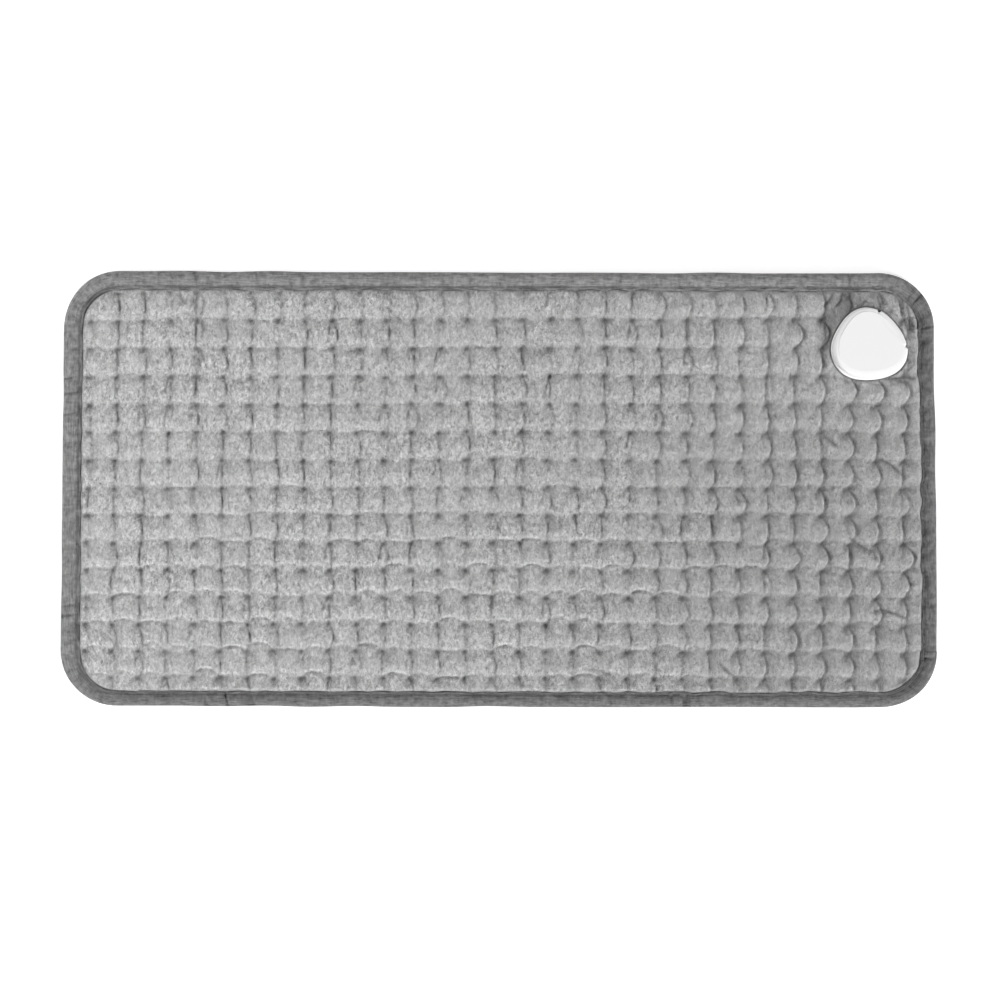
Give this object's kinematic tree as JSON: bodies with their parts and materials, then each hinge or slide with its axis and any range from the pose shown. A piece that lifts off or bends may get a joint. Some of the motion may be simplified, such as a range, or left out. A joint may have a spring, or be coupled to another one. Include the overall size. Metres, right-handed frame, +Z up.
{
  "type": "heating pad",
  "caption": "Flat rectangular heating pad with a tufted plush cover, a bound edge and a low rounded socket housing near one corner",
  "frame": {"origin": "On the underside, in the middle of the pad's outline", "axes": "+X runs along the pad towards the end with the housing, +Y runs across it towards the edge nearest the housing, +Z points up out of the tufted face"},
  "size_m": [0.61, 0.305, 0.0191],
  "materials": {
    "plush": "grey short-pile plush",
    "binding_tape": "darker grey knitted tape",
    "thread": "grey sewing thread",
    "felt": "off-white non-woven sheet",
    "wire_coat": "off-white silicone coat",
    "lead_coat": "white lead coat",
    "shrink_tube": "black shrink tube",
    "white_plastic": "white moulded plastic, satin",
    "dark_plastic": "black moulded insulator",
    "board": "green glass-cloth laminate",
    "contact_brass": "bright brass",
    "steel": "zinc-plated steel"
  },
  "bodies": {
    "root": {"bottom_cover": "plush", "lower_heater_sheet": "felt", "upper_heater_sheet": "felt", "batting": "felt", "top_cover": "plush", "edge_binding": "binding_tape", "binding_stitching": "thread", "heating_wire_1": "wire_coat", "heating_wire_2": "wire_coat", "heating_wire_3": "wire_coat", "thermal_cutout_1": "steel", "thermal_cutout_2": "steel", "cutout_sleeve_1": "shrink_tube", "cutout_sleeve_2": "shrink_tube", "splice_1": "shrink_tube", "splice_2": "shrink_tube", "splice_3": "shrink_tube", "splice_4": "shrink_tube", "splice_5": "shrink_tube", "splice_6": "shrink_tube", "supply_lead": "lead_coat", "return_lead": "lead_coat", "back_shell": "white_plastic", "clamp_frame": "white_plastic", "socket_cap": "white_plastic", "socket_block": "dark_plastic", "terminal_board": "board", "lead_clamp": "dark_plastic", "contact_blade_1": "contact_brass", "contact_blade_2": "contact_brass", "contact_blade_3": "contact_brass", "housing_screw_1": "steel", "housing_screw_2": "steel", "housing_screw_3": "steel", "housing_screw_4": "steel", "clamp_screw_1": "steel", "clamp_screw_2": "steel"}
  },
  "joints": []
}
